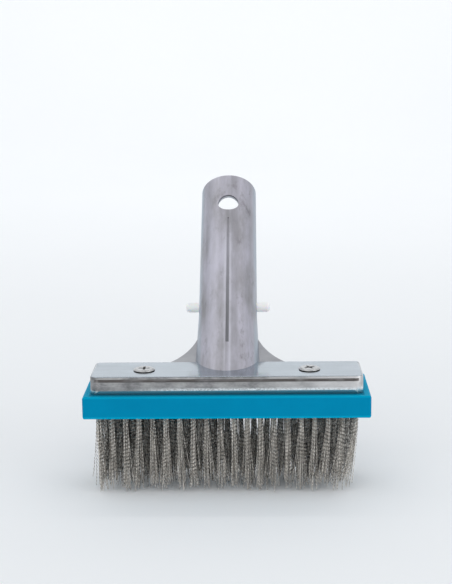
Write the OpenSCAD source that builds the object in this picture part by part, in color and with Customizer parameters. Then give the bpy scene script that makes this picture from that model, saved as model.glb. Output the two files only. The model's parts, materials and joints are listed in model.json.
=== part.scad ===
// Pool wall brush: a five inch stainless wire algae brush head with a cast handle.
// The origin is the middle of the block's underside, where the wire tufts leave it.
// X runs along the head, +Y is the side that the handle leans to, and +Z is up.

/* [Block] */
// Length of the plastic block, a five inch head
block_length = 127; // [100:0.5:160]
// Depth of the block from front to back
block_depth = 38; // [30:0.5:50]
// Thickness of the block
block_height = 10; // [8:0.5:16]
// Radius of the block's rounded edges
block_edge = 0.6; // [0.4:0.1:2]

/* [Handle casting] */
// Length of the flange plate
plate_length = 120.8; // [90:0.1:150]
// Depth of the flange plate
plate_depth = 27; // [16:0.5:32]
// Thickness of the flange plate
plate_height = 8.1; // [4:0.1:12]
// How far the plate sits behind the front of the block
plate_setback = 3.6; // [1:0.1:8]
// Angle that the tube leans back from upright
tube_lean = 53; // [30:1:60]
// Outer radius of the tube, which slides into a pole
tube_radius = 13.85; // [12:0.05:16]
// Wall of the tube
tube_wall = 1.9; // [1.5:0.05:4]
// Length of the tube above the plate, along its axis
tube_length = 106.8; // [80:0.2:150]
// Where the tube's axis crosses the plate's top, behind the block's middle
tube_offset = 20.5; // [10:0.5:30]
// Radius of the hole near the open end
cross_hole_radius = 5.1; // [3:0.1:7]
// Distance from the open end to that hole
cross_hole_inset = 19.3; // [12:0.1:40]

/* [Locking clip] */
// Height of the two locking pins above the plate, along the tube's axis
pin_station = 30; // [20:1:50]
// Radius of a locking pin's free end
pin_radius = 2.3; // [1.5:0.1:4]
// Distance from the tube's axis to the tip of a pin
pin_reach = 20; // [16:0.5:24]
// Distance from the pins to the bend of the clip
clip_length = 47; // [30:1:60]
// Width of the clip's strip
clip_width = 8; // [5:0.5:10]
// Thickness of the clip's strip
clip_thick = 2; // [1:0.1:3]

/* [Screws] */
// Distance from the middle to each screw
screw_spread = 37; // [20:0.5:50]
// Diameter of a screw head
screw_head = 9.6; // [6:0.1:12]
// How far a screw head stands above the plate
screw_head_height = 0.95; // [0.5:0.05:3]

/* [Wire tufts] */
// Tufts in the first, third and fifth rows
tufts_in_long_row = 20; // [10:1:24]
// Distance between neighbouring tufts in a row
tuft_pitch = 6; // [4:0.1:9]
// Distance between rows
row_pitch = 6.7; // [5:0.1:9]
// Free length of the wires below the block
wire_length = 35.5; // [20:0.5:50]
// Radius of a tuft in its hole
tuft_radius = 1.6; // [1:0.05:2.5]
// Radius of a tuft at its tips
tuft_tip_radius = 2; // [1:0.05:3]

/* [Hidden] */
$fn = 48;
front = -block_depth / 2;
plate_front = front + plate_setback;
plate_rear = plate_front + plate_depth;
plate_top = block_height + plate_height;
bore_radius = tube_radius - tube_wall;
bore_floor = 5.5;
groove_low = -3;
groove_high = 77;
groove_wide = 1.5;
groove_narrow = 0.6;
groove_depth = 0.55;
front_groove_rise = 5.9;
front_groove_height = 1.2;
plate_corner = 4.5;
foot_flare = 2.2;
flare_top = 24;
web_thick = 2.6;
web_span = 30;
web_arc = 26.9;
web_arc_x = 39.1;
web_arc_s = 19.5;
screw_y = -3.1;
screw_shank = 1.9;
screw_length = 15;
screw_hole = 2.3;
pin_root = 2.55;
pin_clearance = 0.06;
strip_out = 10.4;
pad_length = 13;
pad_gap = 0.4;
bend_half = 3;
hole_radius = tuft_radius + 0.05;
hole_depth = 6.5;
staple_low = 3.6;
staple_size = [2.9, 0.5, 1.6];
eps = 0.01;

// Which piece to draw, or all of them

// The tube's own frame: +Z runs up its axis and -Y is the side seen from the front.
module in_tube() {
  translate([0, tube_offset, plate_top])
    rotate([-tube_lean, 0, 0])
      children();
}

// A rectangle with round corners, centred on x and standing on y = 0.
module round_rect(w, h, r) {
  translate([-w / 2 + r, 0])
    square([w - 2 * r, h]);
  translate([-w / 2, r])
    square([w, h - 2 * r]);
  for (x = [-1, 1], y = [r, h - r])
    translate([x * (w / 2 - r), y])
      circle(r);
}

module plate_side_profile(w) {
  top = 1.1;
  difference() {
    union() {
      translate([-w / 2, 0])
        square([w, plate_height - top]);
      translate([-w / 2 + top, 0])
        square([w - 2 * top, plate_height]);
      for (x = [-1, 1])
        translate([x * (w / 2 - top), plate_height - top])
          circle(top);
    }
    for (x = [-1, 1])
      translate([x * w / 2, 0])
        polygon([[0, -1], [-x * 0.8, -1], [-x * 0.5, 0], [0, 1.9]]);
  }
}

module plate_body() {
  intersection() {
    translate([0, plate_front, block_height])
      linear_extrude(plate_height)
        round_rect(plate_length, plate_depth, plate_corner);
    translate([0, (plate_front + plate_rear) / 2 + plate_depth, block_height])
      rotate([90, 0, 0])
        linear_extrude(plate_depth * 2)
          plate_side_profile(plate_length);
    translate([-plate_length, (plate_front + plate_rear) / 2, block_height])
      rotate([90, 0, 90])
        linear_extrude(plate_length * 2)
          plate_side_profile(plate_depth);
  }
}

module webs() {
  in_tube()
    rotate([90, 0, 0])
      translate([0, 0, -web_thick / 2])
        linear_extrude(web_thick)
          difference() {
            polygon([[-web_span, -30], [web_span, -30], [web_span, 12], [-web_span, 12]]);
            for (x = [-1, 1])
              translate([x * web_arc_x, web_arc_s])
                circle(web_arc);
          }
}

// The outside of the tube, which widens a little towards its foot.
module tube_outside() {
  in_tube() {
    cylinder(r = tube_radius, h = tube_length);
    translate([0, 0, -45])
      cylinder(r1 = tube_radius + foot_flare, r2 = tube_radius, h = 45 + flare_top);
  }
}

// The shallow cast groove down the front of the tube, widest at its foot.
module front_groove() {
  rotate([90, 0, 0])
    linear_extrude(tube_radius + 5)
      polygon([
        [-groove_wide / 2, groove_low],
        [groove_wide / 2, groove_low],
        [groove_narrow / 2, groove_high],
        [-groove_narrow / 2, groove_high]
      ]);
}

module handle_tube() {
  color([0.72, 0.72, 0.75])
    difference() {
      tube_outside();
      translate([-100, -100, block_height - 100])
        cube([200, 200, 100]);
      translate([-100, -100, 0])
        cube([200, 100 + plate_rear, plate_top]);
      in_tube() {
        translate([0, 0, bore_floor])
          cylinder(r = bore_radius, h = tube_length);
        translate([0, 0, tube_length - cross_hole_inset])
          rotate([90, 0, 0])
            cylinder(r = cross_hole_radius, h = tube_radius + 5);
        translate([0, 0, pin_station])
          rotate([0, 90, 0])
            cylinder(r = pin_root + pin_clearance, h = 40, center = true);
        difference() {
          front_groove();
          cylinder(r = tube_radius - groove_depth, h = 300, center = true);
        }
      }
    }
}

module flange_plate() {
  color([0.74, 0.75, 0.78])
    difference() {
      union() {
        plate_body();
        difference() {
          webs();
          translate([-100, -100, 0])
            cube([200, 100 + plate_rear - 2, 100]);
          translate([-100, -100, block_height - 100])
            cube([200, 200, 100]);
          tube_outside();
        }
      }
      for (x = [-1, 1])
        translate([x * screw_spread, screw_y, block_height - 1])
          cylinder(r = screw_hole, h = plate_height + 2);
      translate([-plate_length / 2 + 4, plate_front - 1, block_height + front_groove_rise])
        cube([plate_length - 8, 1.4, front_groove_height]);
    }
}

function long_row(row) = row % 2 == 1;
function tufts_in(row) = long_row(row) ? tufts_in_long_row : tufts_in_long_row - 1;
function tuft_x(row, i) = (i - (tufts_in(row) - 1) / 2) * tuft_pitch;
function row_y(row) = (row - 3) * row_pitch;

module each_tuft(row, first, last) {
  for (i = [first:last])
    translate([tuft_x(row, i), row_y(row), 0])
      children();
}

module brush_block() {
  color([0.0, 0.53, 0.67])
    difference() {
      intersection() {
        translate([0, front, 0])
          linear_extrude(block_height)
            round_rect(block_length, block_depth, 1.2);
        translate([0, block_depth, 0])
          rotate([90, 0, 0])
            linear_extrude(block_depth * 2)
              round_rect(block_length, block_height, block_edge * 1.8);
        translate([-block_length, 0, 0])
          rotate([90, 0, 90])
            linear_extrude(block_length * 2)
              round_rect(block_depth, block_height, block_edge);
      }
      for (row = [1:5])
        each_tuft(row, 0, tufts_in(row) - 1)
          translate([0, 0, -1])
            cylinder(r = hole_radius, h = hole_depth + 1, $fn = 24);
      for (x = [-1, 1])
        translate([x * screw_spread, screw_y, plate_top - screw_length - 0.5])
          cylinder(r = screw_shank + 0.05, h = screw_length);
    }
}

module screw(turn) {
  rim = 0.45;
  color([0.85, 0.85, 0.87])
    difference() {
      union() {
        cylinder(r = screw_head / 2, h = rim);
        translate([0, 0, rim - eps])
          cylinder(r1 = screw_head / 2, r2 = screw_head / 2 - 0.9, h = screw_head_height - rim + eps);
        translate([0, 0, 2 - screw_length])
          cylinder(r = screw_shank, h = screw_length - 2 + eps);
        translate([0, 0, -screw_length])
          cylinder(r1 = 0.5, r2 = screw_shank, h = 2 + eps);
      }
      for (a = [0, 90])
        rotate([0, 0, turn + a])
          translate([-2.6, -0.55, screw_head_height - 0.7])
            cube([5.2, 1.1, 3]);
    }
}

module screw_left() {
  translate([-screw_spread, screw_y, plate_top])
    screw(0);
}

module screw_right() {
  translate([screw_spread, screw_y, plate_top])
    screw(33);
}

// The bend and the two strips that end just above the pin pads.
module clip_bow() {
  low = pin_station + pad_length / 2 + pad_gap;
  bend = pin_station + clip_length - bend_half - clip_thick;
  join = bend - 0.4;
  color([0.93, 0.93, 0.92])
    in_tube()
      rotate([90, 0, 0])
        translate([0, 0, -clip_width / 2])
          union() {
            difference() {
              translate([0, bend])
                cylinder(r = bend_half + clip_thick, h = clip_width);
              translate([0, bend, -1])
                cylinder(r = bend_half, h = clip_width + 2);
              translate([-20, bend - 21.2, -1])
                cube([40, 20, clip_width + 2]);
            }
            for (m = [0, 1])
              mirror([m, 0, 0])
                linear_extrude(clip_width)
                  polygon([
                    [bend_half + 0.15, join],
                    [strip_out - clip_thick, low],
                    [strip_out, low],
                    [bend_half + clip_thick - 0.15, join]
                  ]);
          }
}

module clip_pin(side) {
  free_end = tube_radius + 0.15;
  color([0.93, 0.93, 0.92])
    in_tube()
      translate([0, 0, pin_station])
        union() {
          translate([side * (strip_out - clip_thick / 2), 0, 0])
            cube([clip_thick, clip_width, pad_length], center = true);
          rotate([0, side * 90, 0]) {
            translate([0, 0, strip_out - clip_thick / 2])
              cylinder(r = pin_root, h = free_end - strip_out + clip_thick / 2);
            translate([0, 0, free_end - eps])
              cylinder(r = pin_radius, h = pin_reach - 1 - free_end + eps);
            translate([0, 0, pin_reach - 1 - eps])
              cylinder(r1 = pin_radius, r2 = pin_radius - 1, h = 1 + eps);
          }
        }
}

module clip_pin_left() {
  clip_pin(-1);
}

module clip_pin_right() {
  clip_pin(1);
}

module tuft() {
  difference() {
    union() {
      translate([0, 0, -eps])
        cylinder(r = tuft_radius, h = hole_depth - 0.3, $fn = 24);
      translate([0, 0, -wire_length])
        cylinder(r1 = tuft_tip_radius, r2 = tuft_radius, h = wire_length, $fn = 24);
    }
    translate([-3, -staple_size[1] / 2 - 0.05, staple_low - 0.05])
      cube([6, staple_size[1] + 0.1, staple_size[2] + 0.1]);
  }
}

module tufts(row, half) {
  first = half < 0 ? 0 : 10;
  last = half < 0 ? 9 : tufts_in(row) - 1;
  color([0.45, 0.43, 0.4])
    each_tuft(row, first, last)
      tuft();
}

module staples(row) {
  color([0.8, 0.75, 0.6])
    each_tuft(row, 0, tufts_in(row) - 1)
      translate([-staple_size[0] / 2, -staple_size[1] / 2, staple_low])
        cube(staple_size);
}

handle_tube();
flange_plate();
brush_block();
screw_left();
screw_right();
clip_bow();
clip_pin_left();
clip_pin_right();
tufts(1, -1);  // tufts_row_1_left
tufts(1, 1);  // tufts_row_1_right
tufts(2, -1);  // tufts_row_2_left
tufts(2, 1);  // tufts_row_2_right
tufts(3, -1);  // tufts_row_3_left
tufts(3, 1);  // tufts_row_3_right
tufts(4, -1);  // tufts_row_4_left
tufts(4, 1);  // tufts_row_4_right
tufts(5, -1);  // tufts_row_5_left
tufts(5, 1);  // tufts_row_5_right
staples(1);  // staples_row_1
staples(2);  // staples_row_2
staples(3);  // staples_row_3
staples(4);  // staples_row_4
staples(5);  // staples_row_5
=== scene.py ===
import json
import math

import bpy
import numpy as np
from mathutils import Matrix, Vector


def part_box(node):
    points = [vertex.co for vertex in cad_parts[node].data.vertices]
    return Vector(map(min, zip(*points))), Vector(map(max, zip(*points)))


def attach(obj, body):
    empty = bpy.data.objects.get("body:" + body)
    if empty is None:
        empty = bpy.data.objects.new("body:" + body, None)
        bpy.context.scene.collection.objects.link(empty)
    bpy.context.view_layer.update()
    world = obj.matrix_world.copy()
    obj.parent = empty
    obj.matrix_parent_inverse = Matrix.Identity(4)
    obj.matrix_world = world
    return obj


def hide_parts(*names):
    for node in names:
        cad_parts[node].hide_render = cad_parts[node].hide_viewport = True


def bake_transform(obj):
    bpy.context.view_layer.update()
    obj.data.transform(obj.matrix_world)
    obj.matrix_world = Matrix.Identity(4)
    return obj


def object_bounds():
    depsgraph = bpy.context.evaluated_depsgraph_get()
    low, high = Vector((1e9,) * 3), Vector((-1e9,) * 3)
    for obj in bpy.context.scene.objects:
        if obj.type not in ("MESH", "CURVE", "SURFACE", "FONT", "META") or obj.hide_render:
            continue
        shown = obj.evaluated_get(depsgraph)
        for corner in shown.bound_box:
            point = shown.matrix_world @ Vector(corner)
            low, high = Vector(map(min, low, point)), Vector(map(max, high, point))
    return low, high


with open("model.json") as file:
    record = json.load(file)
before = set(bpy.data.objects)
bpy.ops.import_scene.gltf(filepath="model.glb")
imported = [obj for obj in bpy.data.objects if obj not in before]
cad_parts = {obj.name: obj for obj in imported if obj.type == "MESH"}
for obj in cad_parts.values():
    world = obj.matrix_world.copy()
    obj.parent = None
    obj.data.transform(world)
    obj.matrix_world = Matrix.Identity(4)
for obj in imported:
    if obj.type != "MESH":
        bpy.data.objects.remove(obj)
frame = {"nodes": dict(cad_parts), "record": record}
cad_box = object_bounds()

# Sizes of the visual pieces, in metres. Places come from the frame.
WIRE_RADIUS = 0.00016
WIRES_PER_TUFT = 29
WIRE_RINGS = 112
WIRE_SIDES = 3
TUFT_PITCH = 0.006
ROOT_RADIUS = 0.00106
CRIMP_LENGTH = 0.0017
CRIMP_HEIGHT = 0.00023
SCREW_HEAD = 0.00095
WIRE_TOP = 0.003
GOLDEN_ANGLE = 2.39996

# How uneven the wires are. The end tufts lean inwards, most at the right end.
TIP_UNEVEN = 0.0082
RIGHT_LEAN, RIGHT_LEAN_RUN = -0.0042, 0.028
LEFT_LEAN, LEFT_LEAN_RUN = 0.0012, 0.01
STRAY_SHARE, STRAY, USUAL = 0.2, 0.0012, 0.0004
SHORT_SHARE, SHORT_MEAN, SHORT_MOST = 0.2, 0.003, 0.004

# From the tube's foot along its axis to the pole_tube mount, and the plate's rear face.
SLIDE_STATION = 0.06
PLATE_REAR = 0.0116

# Marks on the tube, most of them painted light and shade, each from none to full. They run along the tube; X
# is across it, side is the distance from its middle line, run is the height above its foot.
PALE_LANE_LEFT, PALE_LANE_RIGHT = (-0.0106, -0.0084), (-0.0032, -0.0054)
DARK_LANE_LEFT, DARK_LANE_RIGHT = (0.0008, 0.0018), (0.0064, 0.0044)
RIM_REFLECTION_SIDE = (0.0118, 0.0132)
GROOVE_SIDE, GROOVE_RUN, GROOVE_START = (0.0009, 0.0005), (0.086, 0.02), (-0.0035, -0.0025)
LIP_OUTER, LIP_INNER, LIP_RUN = (0.0022, 0.0013), (0.0007, 0.0010), (0.079, 0.06)
FRONT_HALF = (0.0, -0.006)
BORE_RADIUS = (0.0131, 0.0128)
BARE_METAL_RADIUS = (0.0127, 0.0135)

# The nylon clip: a strip bent once, with a pad behind each pin. Stations run up
# the tube from the pins.
STRIP_THICK = 0.002
STRIP_WIDTH = 0.008
BEND_STATION = 0.042
BEND_RADIUS = 0.004
PAD_TOP = 0.0069
PAD_END = -0.0065
COLLAR = 0.0004
PIN_ROUND = 0.0016
PIN_SIDES = 40

# The camera, from the fit to the photo's outline of the object.
CAMERA_AT = Vector((0.01211, -0.58769, 0.17479))
CAMERA_PITCH = math.radians(11.71)
CAMERA_YAW = math.radians(-1.18)
CAMERA_ROLL = math.radians(-0.67)
CAMERA_LENS = 83.2

nodes = frame["nodes"]
mounts = {m["name"]: m for m in frame["record"]["mounts"]}
rng = np.random.default_rng(7)


def make_camera():
    """A camera without shift or depth of field, at the photo's angle."""
    cos_p = math.cos(CAMERA_PITCH)
    look = Vector((math.sin(CAMERA_YAW) * cos_p, math.cos(CAMERA_YAW) * cos_p, -math.sin(CAMERA_PITCH)))
    right = Vector((math.cos(CAMERA_YAW), -math.sin(CAMERA_YAW), 0.0))
    up = right.cross(look)
    turned = math.cos(CAMERA_ROLL) * right + math.sin(CAMERA_ROLL) * up
    up = -math.sin(CAMERA_ROLL) * right + math.cos(CAMERA_ROLL) * up
    data = bpy.data.cameras.new("camera")
    data.lens = CAMERA_LENS
    data.sensor_width = 36.0
    camera = bpy.data.objects.new("camera", data)
    turn = Matrix((turned, up, -look)).transposed().to_4x4()
    camera.matrix_world = Matrix.Translation(CAMERA_AT) @ turn
    bpy.context.scene.collection.objects.link(camera)
    bpy.context.scene.camera = camera


# Materials


class Nodes:
    """A small helper that builds one material's node tree."""

    def __init__(self, name):
        self.material = bpy.data.materials.new(name)
        self.material.use_nodes = True
        self.tree = self.material.node_tree
        self.tree.nodes.clear()
        self.output = self.add("ShaderNodeOutputMaterial")
        self.surface = self.add("ShaderNodeBsdfPrincipled")
        self.link(self.surface, "BSDF", self.output, "Surface")
        self.coordinates = self.add("ShaderNodeTexCoord")

    def add(self, kind, **values):
        node = self.tree.nodes.new(kind)
        for key, value in values.items():
            setattr(node, key, value)
        return node

    def link(self, a, a_socket, b, b_socket):
        self.tree.links.new(a.outputs[a_socket], b.inputs[b_socket])

    def set(self, **values):
        for key, value in values.items():
            self.surface.inputs[key.replace("_", " ")].default_value = value

    def mapped(self, scale=(1, 1, 1), rotation=(0, 0, 0)):
        """Object coordinates, turned and then stretched."""
        turn = self.add("ShaderNodeMapping")
        turn.inputs["Rotation"].default_value = rotation
        self.link(self.coordinates, "Object", turn, "Vector")
        stretch = self.add("ShaderNodeMapping")
        stretch.inputs["Scale"].default_value = scale
        self.link(turn, "Vector", stretch, "Vector")
        return stretch

    def noise(self, vector, scale, detail=4.0, rough=0.55):
        node = self.add("ShaderNodeTexNoise")
        node.inputs["Scale"].default_value = scale
        node.inputs["Detail"].default_value = detail
        node.inputs["Roughness"].default_value = rough
        self.link(vector, "Vector", node, "Vector")
        return node

    def ramp(self, source, socket, stops):
        """A colour ramp; stops are (place, colour)."""
        node = self.add("ShaderNodeValToRGB")
        while len(node.color_ramp.elements) < len(stops):
            node.color_ramp.elements.new(0.5)
        for element, (place, colour) in zip(node.color_ramp.elements, stops):
            element.position = place
            element.color = (*colour, 1.0)
        self.link(source, socket, node, "Fac")
        return node

    def span(self, source, socket, low, high):
        """A number from low to high as the source goes from 0.3 to 0.7."""
        node = self.add("ShaderNodeMapRange")
        node.inputs["From Min"].default_value = 0.3
        node.inputs["From Max"].default_value = 0.7
        node.inputs["To Min"].default_value = low
        node.inputs["To Max"].default_value = high
        self.link(source, socket, node, "Value")
        return node

    def band(self, source, socket, start, end):
        """0 at start and 1 at end, held beyond them."""
        node = self.add("ShaderNodeMapRange")
        node.inputs["From Min"].default_value = start
        node.inputs["From Max"].default_value = end
        self.link(source, socket, node, "Value")
        return node.outputs["Result"]

    def times(self, a, b, operation="MULTIPLY"):
        """One number from two outputs."""
        node = self.add("ShaderNodeMath", operation=operation)
        self.tree.links.new(a, node.inputs[0])
        self.tree.links.new(b, node.inputs[1])
        return node.outputs[0]

    def plain(self, colour):
        """A colour output without a texture."""
        node = self.add("ShaderNodeRGB")
        node.outputs[0].default_value = (*colour, 1.0)
        return node.outputs[0]

    def mix(self, a, b, factor=0.5, blend="MIX"):
        """Mixes two colour outputs; factor is a number or an output."""
        node = self.add("ShaderNodeMix", data_type="RGBA", blend_type=blend)
        if isinstance(factor, bpy.types.NodeSocket):
            self.tree.links.new(factor, node.inputs[0])
        else:
            node.inputs[0].default_value = factor
        self.tree.links.new(a, node.inputs[6])
        self.tree.links.new(b, node.inputs[7])
        return node.outputs[2]

    def bump(self, source, socket, distance, strength=0.5, under=None):
        node = self.add("ShaderNodeBump")
        node.inputs["Distance"].default_value = distance
        node.inputs["Strength"].default_value = strength
        self.link(source, socket, node, "Height")
        if under:
            self.link(under, "Normal", node, "Normal")
        return node


def tube_casting(axis, foot):
    """The tumbled tube: cloudy grey with a little lavender, streaked along its axis."""
    lean = math.atan2(axis[1], axis[2])
    m = Nodes("tube_casting")
    streak = m.noise(m.mapped((1, 1, 0.05), (lean, 0, 0)), 230, 5)
    cloud = m.noise(m.mapped((1, 1, 0.3), (lean, 0, 0)), 85, 6, 0.65)
    streak_tone = m.ramp(streak, "Fac", ((0.32, (0.33, 0.32, 0.345)), (0.68, (0.62, 0.605, 0.67))))
    cloud_tone = m.ramp(cloud, "Fac", ((0.34, (0.26, 0.25, 0.245)), (0.66, (0.68, 0.66, 0.755))))
    tone = m.mix(streak_tone.outputs["Color"], cloud_tone.outputs["Color"], 0.6)
    smudge = m.noise(m.mapped((1, 1, 0.45), (lean, 0, 0)), 190, 5, 0.7)
    mark = m.ramp(smudge, "Fac", ((0.30, (0.55, 0.53, 0.52)), (0.44, (1.0, 1.0, 1.0))))
    tone = m.mix(tone, mark.outputs["Color"], 0.8, "MULTIPLY")
    shift = m.add("ShaderNodeMapping", vector_type="POINT")
    shift.inputs["Location"].default_value = [-value for value in foot]
    m.link(m.coordinates, "Object", shift, "Vector")
    turn = m.add("ShaderNodeMapping", vector_type="POINT")
    turn.inputs["Rotation"].default_value = (lean, 0, 0)
    m.link(shift, "Vector", turn, "Vector")
    own = m.add("ShaderNodeSeparateXYZ")
    m.link(turn, "Vector", own, "Vector")
    side = m.add("ShaderNodeMath", operation="ABSOLUTE")
    m.link(own, "X", side, 0)
    # Painted reflections: a paler lane left of the middle and a darker one right of it.
    lane = m.times(m.band(own, "X", *PALE_LANE_LEFT), m.band(own, "X", *PALE_LANE_RIGHT))
    tone = m.mix(tone, m.plain((0.66, 0.645, 0.72)), m.times(lane, m.band(cloud, "Fac", 0.2, 0.9)))
    lane = m.times(m.band(own, "X", *DARK_LANE_LEFT), m.band(own, "X", *DARK_LANE_RIGHT))
    tone = m.mix(tone, m.plain((0.30, 0.29, 0.31)), m.times(lane, m.band(cloud, "Fac", 0.95, 0.15)))
    # Painted reflection makes the sides bluish.
    rim_reflection = m.band(side, 0, *RIM_REFLECTION_SIDE)
    tone = m.mix(tone, m.plain((0.46, 0.51, 0.57)), m.times(rim_reflection, m.band(cloud, "Fac", 0.3, 0.5)))
    # Painted shade in the groove down the front, fading towards the open end.
    groove = m.times(m.band(side, 0, *GROOVE_SIDE), m.band(own, "Z", *GROOVE_RUN))
    groove = m.times(groove, m.band(own, "Z", *GROOVE_START))
    groove = m.times(groove, m.band(own, "Y", *FRONT_HALF))
    tone = m.mix(tone, m.plain((0.26, 0.26, 0.275)), m.times(groove, m.band(streak, "Fac", 0.2, 0.34)))
    # Painted highlights on the lips of the groove.
    lip_highlight = m.times(m.band(side, 0, *LIP_OUTER), m.band(side, 0, *LIP_INNER))
    lip_highlight = m.times(lip_highlight, m.band(own, "Z", *LIP_RUN))
    lip_highlight = m.times(lip_highlight, m.band(own, "Y", *FRONT_HALF))
    tone = m.mix(tone, m.plain((0.66, 0.65, 0.71)), m.times(lip_highlight, m.band(cloud, "Fac", 0.3, 0.75)))
    # The bore is pale and not metallic, the outside is bare metal.
    reach = m.add("ShaderNodeVectorMath", operation="LENGTH")
    flat = m.add("ShaderNodeMapping", vector_type="POINT")
    flat.inputs["Scale"].default_value = (1, 1, 0)
    m.link(turn, "Vector", flat, "Vector")
    m.tree.links.new(flat.outputs["Vector"], reach.inputs[0])
    inside = m.band(reach, "Value", *BORE_RADIUS)
    tone = m.mix(tone, m.plain((0.66, 0.69, 0.74)), inside)
    m.tree.links.new(tone, m.surface.inputs["Base Color"])
    m.tree.links.new(m.band(reach, "Value", *BARE_METAL_RADIUS), m.surface.inputs["Metallic"])
    m.link(m.span(cloud, "Fac", 0.36, 0.52), "Result", m.surface, "Roughness")
    pits = m.noise(m.mapped(), 1100, 3)
    fine = m.bump(pits, "Fac", 0.00006, 0.3)
    lines = m.bump(streak, "Fac", 0.00014, 0.35, fine)
    m.link(lines, "Normal", m.surface, "Normal")
    return m.material


def plate_casting(plate_top, front, rear):
    """The flange plate: brushed blue-grey on top, rougher and patchy down its sides."""
    m = Nodes("plate_casting")
    m.set(Metallic=1.0)
    brushed = m.noise(m.mapped((0.05, 1, 1)), 800, 4)
    stain = m.noise(m.mapped((0.6, 1, 1)), 90, 4)
    brushed_tone = m.ramp(brushed, "Fac", ((0.3, (0.36, 0.405, 0.44)), (0.7, (0.46, 0.51, 0.56))))
    stain_tone = m.ramp(stain, "Fac", ((0.3, (0.33, 0.375, 0.41)), (0.7, (0.51, 0.555, 0.60))))
    top = m.mix(brushed_tone.outputs["Color"], stain_tone.outputs["Color"], 0.5)
    grit = m.noise(m.mapped((0.4, 1, 1)), 620, 6, 0.65)
    patch = m.noise(m.mapped((0.5, 1, 1)), 130, 4)
    grit_tone = m.ramp(grit, "Fac", ((0.35, (0.12, 0.12, 0.12)), (0.65, (0.46, 0.45, 0.45))))
    patch_tone = m.ramp(patch, "Fac", ((0.35, (0.20, 0.20, 0.21)), (0.65, (0.44, 0.445, 0.445))))
    side = m.mix(grit_tone.outputs["Color"], patch_tone.outputs["Color"], 0.5)
    place = m.add("ShaderNodeSeparateXYZ")
    m.link(m.coordinates, "Object", place, "Vector")

    def below_top(start, end):
        return m.band(place, "Z", plate_top - start, plate_top - end)

    # A painted reflection makes the side paler towards the right end.
    right_end_reflection = m.times(m.band(place, "X", 0.012, 0.045), m.band(patch, "Fac", 0.2, 0.6))
    side = m.mix(side, m.plain((0.66, 0.65, 0.65)), right_end_reflection)
    # Painted shade darkens the groove along the front.
    groove = m.times(below_top(0.0025, 0.0021), below_top(0.0008, 0.0012))
    groove = m.times(groove, m.band(place, "Y", front + 0.0008, front + 0.0005))
    side = m.mix(side, m.plain((0.13, 0.12, 0.115)), m.times(groove, m.band(patch, "Fac", 0.2, 0.5)))
    low = below_top(0.00004, 0.0003)
    web = m.band(place, "Y", rear - 0.0002, rear + 0.0003)
    low_or_web = m.times(low, web, "MAXIMUM")
    # A speckled painted highlight runs along the ridge above the foot, except at the left end.
    ridge = m.times(below_top(0.0048, 0.0058), m.band(place, "X", -0.045, -0.015))
    speck = m.noise(m.mapped((0.6, 1, 1)), 1500, 3)
    ridge = m.times(ridge, m.band(speck, "Fac", 0.30, 0.62))
    side = m.mix(side, m.plain((0.86, 0.91, 0.93)), ridge)
    # Painted reflection of the teal block on the foot, with painted shade that darkens it towards the
    # bottom.
    foot_shade = below_top(0.0066, 0.0078)
    foot_reflection = m.mix(m.plain((0.56, 0.68, 0.68)), m.plain((0.32, 0.46, 0.47)), foot_shade)
    side = m.mix(side, foot_reflection, below_top(0.0061, 0.0065))
    colour = m.mix(top, side, low)
    web_tone = m.mix(patch_tone.outputs["Color"], m.plain((0.53, 0.53, 0.56)), 0.6)
    colour = m.mix(colour, web_tone, web)
    m.tree.links.new(colour, m.surface.inputs["Base Color"])
    # The sides and webs are duller than the brushed top.
    smooth = m.span(stain, "Fac", 0.10, 0.18)
    dull = m.add("ShaderNodeMath", operation="MAXIMUM")
    m.link(smooth, "Result", dull, 0)
    half = m.add("ShaderNodeMath", operation="MULTIPLY")
    half.inputs[1].default_value = 0.36
    m.tree.links.new(low_or_web, half.inputs[0])
    m.tree.links.new(half.outputs[0], dull.inputs[1])
    m.link(dull, 0, m.surface, "Roughness")
    fine = m.bump(brushed, "Fac", 0.000012, 0.3)
    rough = m.bump(grit, "Fac", 0.00006, 0.2, fine)
    m.link(rough, "Normal", m.surface, "Normal")
    return m.material


def teal_plastic(block_top, plate_box):
    """Satin plastic, with painted light making it paler on its top and along its lower edge."""
    m = Nodes("teal_plastic")
    cloud = m.noise(m.mapped(), 70, 3)
    tone = m.ramp(cloud, "Fac", ((0.3, (0.000, 0.226, 0.412)), (0.7, (0.000, 0.243, 0.436))))
    place = m.add("ShaderNodeSeparateXYZ")
    m.link(m.coordinates, "Object", place, "Vector")
    # Painted light: the top face and a thin band along the lower edge are paler.
    edge = m.band(place, "Z", block_top - 0.0009, block_top - 0.0001)
    edge = m.times(edge, m.band(place, "Z", 0.0013, 0.0006), "MAXIMUM")
    colour = m.mix(tone.outputs["Color"], m.plain((0.0, 0.35, 0.56)), edge)
    # A shade on the top, close round the foot of the plate.
    half, front = plate_box[1][0], plate_box[0][1]
    away = m.add("ShaderNodeMath", operation="ABSOLUTE")
    m.link(place, "X", away, 0)
    under = m.times(m.band(away, 0, half + 0.0004, half), m.band(place, "Y", front - 0.0022, front - 0.0004))
    under = m.times(under, m.band(place, "Y", PLATE_REAR + 0.0022, PLATE_REAR + 0.0004))
    under = m.times(under, m.band(place, "Z", block_top - 0.0002, block_top - 0.0001))
    colour = m.mix(colour, m.plain((0.0, 0.16, 0.27)), under)
    m.tree.links.new(colour, m.surface.inputs["Base Color"])
    m.link(m.span(cloud, "Fac", 0.42, 0.50), "Result", m.surface, "Roughness")
    m.set(Specular_IOR_Level=0.02)
    grain = m.noise(m.mapped((0.4, 1, 1)), 1400, 3)
    m.link(m.bump(grain, "Fac", 0.00004, 0.3), "Normal", m.surface, "Normal")
    return m.material


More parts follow.
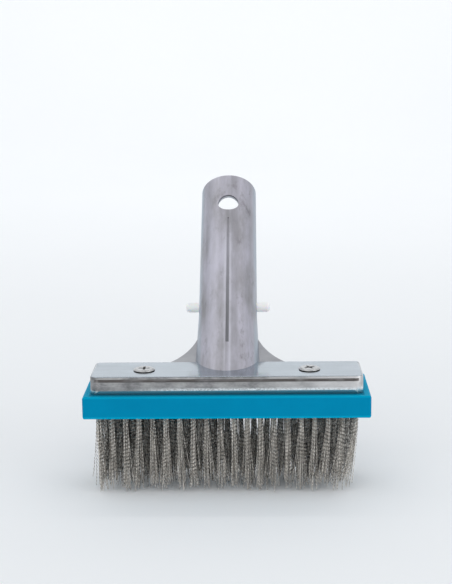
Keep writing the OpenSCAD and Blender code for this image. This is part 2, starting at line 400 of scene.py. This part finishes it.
def screw_steel(plate_top):
    """Bright heads, with painted shade in the recess and where they meet the plate."""
    m = Nodes("screw_steel")
    m.set(Metallic=1.0)
    smudge = m.noise(m.mapped(), 500, 3)
    tone = m.ramp(smudge, "Fac", ((0.3, (0.46, 0.46, 0.46)), (0.7, (0.66, 0.655, 0.65))))
    place = m.add("ShaderNodeSeparateXYZ")
    m.link(m.coordinates, "Object", place, "Vector")
    # Painted shade: dark in the recess and in a ring where the head meets the plate.
    foot = m.band(place, "Z", plate_top + 0.00035, plate_top + 0.00028)
    colour = m.mix(tone.outputs["Color"], m.plain((0.03, 0.027, 0.025)), foot)
    m.tree.links.new(colour, m.surface.inputs["Base Color"])
    m.link(m.span(smudge, "Fac", 0.26, 0.38), "Result", m.surface, "Roughness")
    return m.material


def nylon():
    """White nylon, a little cloudy."""
    m = Nodes("nylon")
    cloud = m.noise(m.mapped(), 300, 3)
    tone = m.ramp(cloud, "Fac", ((0.3, (0.90, 0.895, 0.885)), (0.7, (0.96, 0.955, 0.945))))
    m.link(tone, "Color", m.surface, "Base Color")
    m.link(m.span(cloud, "Fac", 0.30, 0.42), "Result", m.surface, "Roughness")
    m.set(Subsurface_Weight=0.25, Subsurface_Scale=0.002)
    return m.material


def wire_steel(name, dark, light, along):
    """Drawn stainless wire, some wires duller than others."""
    m = Nodes(name)
    m.set(Metallic=1.0)
    patch = m.noise(m.mapped((1, 1, along)), 2600, 2)
    tone = m.ramp(patch, "Fac", ((0.35, dark), (0.65, light)))
    m.link(tone, "Color", m.surface, "Base Color")
    m.link(m.span(patch, "Fac", 0.28, 0.44), "Result", m.surface, "Roughness")
    return m.material


# Pieces


def new_piece(name, verts, faces, material):
    """A smooth-shaded mesh object with one material."""
    mesh = bpy.data.meshes.new(name)
    mesh.from_pydata(verts, [], faces)
    mesh.update()
    mesh.polygons.foreach_set("use_smooth", [True] * len(mesh.polygons))
    mesh.materials.append(material)
    piece = bpy.data.objects.new(name, mesh)
    bpy.context.scene.collection.objects.link(piece)
    return piece


def tube_faces(rings, sides, first):
    """The side faces and the last cap of one wire whose vertices start at first."""
    faces = []
    for ring in range(rings - 1):
        low = first + ring * sides
        for side in range(sides):
            after = (side + 1) % sides
            faces.append((low + side, low + after, low + sides + after, low + sides + side))
    last = first + (rings - 1) * sides
    faces.append(tuple(last + side for side in range(sides)))
    return faces


def smooth_step(value):
    """0 up to 0 and 1 from 1 on, with a soft climb between."""
    value = min(max(value, 0.0), 1.0)
    return value * value * (3 - 2 * value)


def crimped_wire(root, reach, tip_z, top_z, plane, phase):
    """Centre points of one crimped wire from its hole to its tip."""
    z = np.linspace(top_z, tip_z, WIRE_RINGS)
    along = np.clip(z / tip_z, 0.0, 1.0)
    wave = CRIMP_HEIGHT * np.sin(2 * math.pi * z / CRIMP_LENGTH + phase)
    x = root[0] + reach[0] * along ** 1.5 + wave * math.cos(plane)
    y = root[1] + reach[1] * along ** 1.5 + wave * math.sin(plane)
    return np.stack([x, y, z], axis=1)


def wire_group(row, half, lit_or_shaded_wire):
    """The crimped wires of one group of tufts."""
    node = f"tufts_row_{row}_{half}"
    low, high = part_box(node)
    tip = (high[1] - low[1]) / 2
    count = round((high[0] - low[0] - 2 * tip) / TUFT_PITCH) + 1
    middle_y = (low[1] + high[1]) / 2
    end_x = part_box("tufts_row_1_right")[1][0] - tip
    turn = np.arange(WIRE_SIDES) * 2 * math.pi / WIRE_SIDES
    ring = np.stack([np.cos(turn), np.sin(turn), 0 * turn], axis=1) * WIRE_RADIUS
    verts, faces = [], []
    for k in range(count):
        tuft_x = low[0] + tip + k * TUFT_PITCH
        bow = RIGHT_LEAN * smooth_step((tuft_x - end_x + RIGHT_LEAN_RUN) / RIGHT_LEAN_RUN)
        bow += LEFT_LEAN * smooth_step((-tuft_x - end_x + LEFT_LEAN_RUN) / LEFT_LEAN_RUN)
        lean = (bow + rng.normal(0, 0.0005), rng.normal(0, 0.0004))
        tuft_tip = low[2] + 0.0001 + abs(rng.normal(0, 0.0011))
        plane = math.pi / 2 + rng.normal(0, 0.3)
        twist = rng.choice((-1, 1)) * rng.uniform(1400, 2600)
        start = rng.uniform(0, 2 * math.pi)
        for wire in range(WIRES_PER_TUFT):
            out = ROOT_RADIUS * math.sqrt((wire + 0.5) / WIRES_PER_TUFT)
            angle = wire * GOLDEN_ANGLE + rng.normal(0, 0.15)
            away = (out * math.cos(angle), out * math.sin(angle))
            root = (tuft_x + away[0], middle_y + away[1])
            spread = rng.uniform(0.3, 2.1)
            stray = STRAY if rng.random() < STRAY_SHARE else USUAL
            reach = (
                lean[0] + spread * away[0] + rng.normal(0, stray),
                lean[1] + spread * away[1] + rng.normal(0, 0.0003),
            )
            phase = start + twist * away[0] + rng.normal(0, 0.1)
            short = rng.exponential(SHORT_MEAN) if rng.random() < SHORT_SHARE else 0.0
            tip_z = tuft_tip + TIP_UNEVEN * rng.random() + min(short, SHORT_MOST)
            turned = plane + rng.normal(0, 0.15)
            points = crimped_wire(root, reach, tip_z, WIRE_TOP, turned, phase)
            faces += tube_faces(WIRE_RINGS, WIRE_SIDES, len(verts))
            verts += (points[:, None, :] + ring[None, :, :]).reshape(-1, 3).tolist()
    piece = new_piece(f"wires_row_{row}_{half}", verts, faces, lit_or_shaded_wire)
    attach(piece, "head")
    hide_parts(node)


def rounded_section(width, thick, radius, steps=4):
    """A rectangle with round corners, as (u, v) points."""
    points = []
    for corner, (su, sv) in enumerate(((1, 1), (-1, 1), (-1, -1), (1, -1))):
        for step in range(steps + 1):
            angle = math.pi / 2 * (corner + step / steps)
            u = su * (width / 2 - radius) + radius * math.cos(angle)
            v = sv * (thick / 2 - radius) + radius * math.sin(angle)
            points.append((u, v))
    return points


def loft(sections):
    """Vertices and faces of a closed loft through sections of equal length."""
    verts, faces = [], []
    size = len(sections[0])
    for section in sections:
        verts += section
    for k in range(len(sections) - 1):
        for j in range(size):
            after = (j + 1) % size
            faces.append((k * size + j, k * size + after, (k + 1) * size + after, (k + 1) * size + j))
    faces.append(tuple(reversed(range(size))))
    faces.append(tuple((len(sections) - 1) * size + j for j in range(size)))
    return verts, faces


def clip_path(pad_x):
    """The strip's middle line as (across, station) points, from the bend to the pad's end."""
    path = []
    for step in range(9):
        angle = math.pi / 2 * (1 - step / 8)
        path.append((BEND_RADIUS * math.cos(angle), BEND_STATION + BEND_RADIUS * math.sin(angle)))
    for step in range(1, 17):
        t = step / 16
        path.append((BEND_RADIUS + (pad_x - BEND_RADIUS) * t, BEND_STATION + (PAD_TOP - BEND_STATION) * t))
    for step in range(1, 9):
        path.append((pad_x, PAD_TOP + (PAD_END - PAD_TOP) * step / 8))
    return path


def pin_profile(pad_x, radius, reach):
    """The round pin as (across, radius) points, from its collar to its rounded end."""
    collar = radius + COLLAR
    profile = [(pad_x, collar), (pad_x + 0.0011, collar), (pad_x + 0.0014, radius)]
    profile.append((reach - PIN_ROUND, radius))
    for step in range(1, 8):
        angle = math.pi / 2 * step / 8
        x = reach - PIN_ROUND + PIN_ROUND * math.sin(angle)
        profile.append((x, radius - PIN_ROUND + PIN_ROUND * math.cos(angle)))
    profile.append((reach, radius - PIN_ROUND))
    return profile


def clip_half(side, name, pin_node, *also):
    """One half of the nylon clip: half of the bend, one leg and its pin."""
    pin = mounts["lock_pin_left" if side < 0 else "lock_pin_right"]
    axis = Vector(mounts["pole_tube"]["axis"])
    across = Vector((side, 0, 0))
    out = axis.cross(across) * side
    centre = Vector((0, pin["pos_m"][1], pin["pos_m"][2]))
    low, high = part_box(pin_node)
    reach = max(abs(low[0]), abs(high[0]))
    pad_x = min(abs(low[0]), abs(high[0])) + STRIP_THICK / 2
    path = clip_path(pad_x)
    section = rounded_section(STRIP_WIDTH, STRIP_THICK, 0.0005)
    rings = []
    for k, (x, s) in enumerate(path):
        before = path[max(k - 1, 0)]
        after = path[min(k + 1, len(path) - 1)]
        along = Vector((after[0] - before[0], after[1] - before[1])).normalized()
        if k == 0:
            along = Vector((1, 0))
        normal = Vector((-along[1], along[0]))
        ring = []
        for u, v in section:
            point = centre + across * (x + normal[0] * v) + axis * (s + normal[1] * v) + out * u
            ring.append(tuple(point))
        rings.append(ring)
    verts, faces = loft(rings)
    discs = []
    for x, r in pin_profile(pad_x, pin["dims"]["r_mm"] / 1000, reach):
        disc = []
        for j in range(PIN_SIDES):
            angle = 2 * math.pi * j / PIN_SIDES
            disc.append(tuple(centre + across * x + (axis * math.cos(angle) + out * math.sin(angle)) * r))
        discs.append(disc)
    pin_verts, pin_faces = loft(discs)
    faces += [tuple(v + len(verts) for v in face) for face in pin_faces]
    verts += pin_verts
    piece = new_piece(name, verts, faces, white_nylon)
    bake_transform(piece)
    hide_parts(pin_node, *also)


def paint(names, material):
    """Gives CAD nodes a material."""
    for name in names:
        for s in nodes[name].material_slots:
            s.material = material


def soften(name, width, segments=2):
    """Rounds the sharp edges of a CAD node with modifiers."""
    weld = nodes[name].modifiers.new("weld", "WELD")
    weld.merge_threshold = 1e-6
    bevel = nodes[name].modifiers.new("bevel", "BEVEL")
    bevel.width = width
    bevel.segments = segments
    bevel.limit_method = "ANGLE"
    bevel.angle_limit = math.radians(35)
    bevel.use_clamp_overlap = True
    bevel.harden_normals = False


# Stage


def make_floor():
    """A pale floor that curves up into the backdrop."""
    level = cad_box[0][2]
    half, back, bend = 3.0, 1.3, 0.7
    profile = [(-2.0, level), (back, level)]
    for step in range(1, 25):
        angle = math.pi / 2 * step / 24
        profile.append((back + bend * math.sin(angle), level + bend * (1 - math.cos(angle))))
    profile.append((back + bend, 2.5))
    verts = [(x, y, z) for y, z in profile for x in (-half, half)]
    faces = [(2 * k, 2 * k + 1, 2 * k + 3, 2 * k + 2) for k in range(len(profile) - 1)]
    mesh = bpy.data.meshes.new("floor")
    mesh.from_pydata(verts, [], faces)
    mesh.polygons.foreach_set("use_smooth", [True] * len(mesh.polygons))
    m = Nodes("floor")
    cloud = m.noise(m.mapped(), 2, 2)
    tone = m.ramp(cloud, "Fac", ((0.3, (0.93, 0.94, 0.95)), (0.7, (0.95, 0.96, 0.97))))
    m.link(tone, "Color", m.surface, "Base Color")
    m.set(Roughness=0.9, Specular_IOR_Level=0.1)
    mesh.materials.append(m.material)
    floor = bpy.data.objects.new("floor", mesh)
    bpy.context.scene.collection.objects.link(floor)


def area_light(name, at, target, size, power):
    """A white rectangular light that points at its target."""
    data = bpy.data.lights.new(name, "AREA")
    data.shape = "RECTANGLE"
    data.size, data.size_y = size
    data.energy = power
    light = bpy.data.objects.new(name, data)
    light.location = at
    light.rotation_euler = (Vector(target) - Vector(at)).to_track_quat("-Z", "Y").to_euler()
    bpy.context.scene.collection.objects.link(light)


def make_light():
    """A soft key from the front left, two lights above, a fill and a wash on the backdrop."""
    world = bpy.data.worlds.new("studio")
    world.use_nodes = True
    background = world.node_tree.nodes["Background"]
    background.inputs["Color"].default_value = (0.94, 0.97, 1.0, 1.0)
    background.inputs["Strength"].default_value = 0.66
    bpy.context.scene.world = world
    area_light("key", (-0.3, -0.85, 0.4), (0, 0, 0), (1.3, 0.95), 2.6)
    area_light("top_left", (-0.5, 0.05, 0.85), (0, 0, 0), (0.25, 0.9), 0.4)
    area_light("top_right", (0.5, 0.05, 0.85), (0, 0, 0), (0.25, 0.9), 0.4)
    area_light("fill", (0.75, -0.45, 0.2), (0, 0, 0), (0.5, 0.4), 1.2)
    area_light("wash", (0.0, 0.7, 1.3), (0, 1.9, 0.35), (2.4, 0.4), 10)


make_camera()
tube_axis = mounts["pole_tube"]["axis"]
tube_foot = Vector(mounts["pole_tube"]["pos_m"]) - Vector(tube_axis) * SLIDE_STATION
plate_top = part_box("screw_left")[1][2] - SCREW_HEAD
# Lit and shaded copies of one wire: painted light for the outer rows, painted shade for the inner rows.
lit_outer_wire = wire_steel("lit_outer_wire", (0.24, 0.222, 0.20), (0.98, 0.935, 0.87), 0.04)
shaded_inner_wire = wire_steel("shaded_inner_wire", (0.03, 0.028, 0.026), (0.85, 0.82, 0.77), 0.16)
white_nylon = nylon()
paint(["handle_tube"], tube_casting(tube_axis, tube_foot))
paint(["flange_plate"], plate_casting(plate_top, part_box("flange_plate")[0][1], PLATE_REAR))
paint(["brush_block"], teal_plastic(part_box("brush_block")[1][2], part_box("flange_plate")))
paint(["screw_left", "screw_right"], screw_steel(plate_top))
paint([f"staples_row_{row}" for row in range(1, 6)], shaded_inner_wire)
soften("flange_plate", 0.00035)
soften("screw_left", 0.00025, 3)
soften("screw_right", 0.00025, 3)
# Rows 1 and 5 get the painted lit wire, the inner rows the painted shaded wire.
for row in range(1, 6):
    lit_or_shaded_wire = lit_outer_wire if row in (1, 5) else shaded_inner_wire
    wire_group(row, "left", lit_or_shaded_wire)
    wire_group(row, "right", lit_or_shaded_wire)
clip_half(-1, "clip_half_left", "clip_pin_left")
clip_half(1, "clip_half_right", "clip_pin_right", "clip_bow")
make_floor()
make_light()
bpy.context.scene.view_settings.view_transform = "Standard"
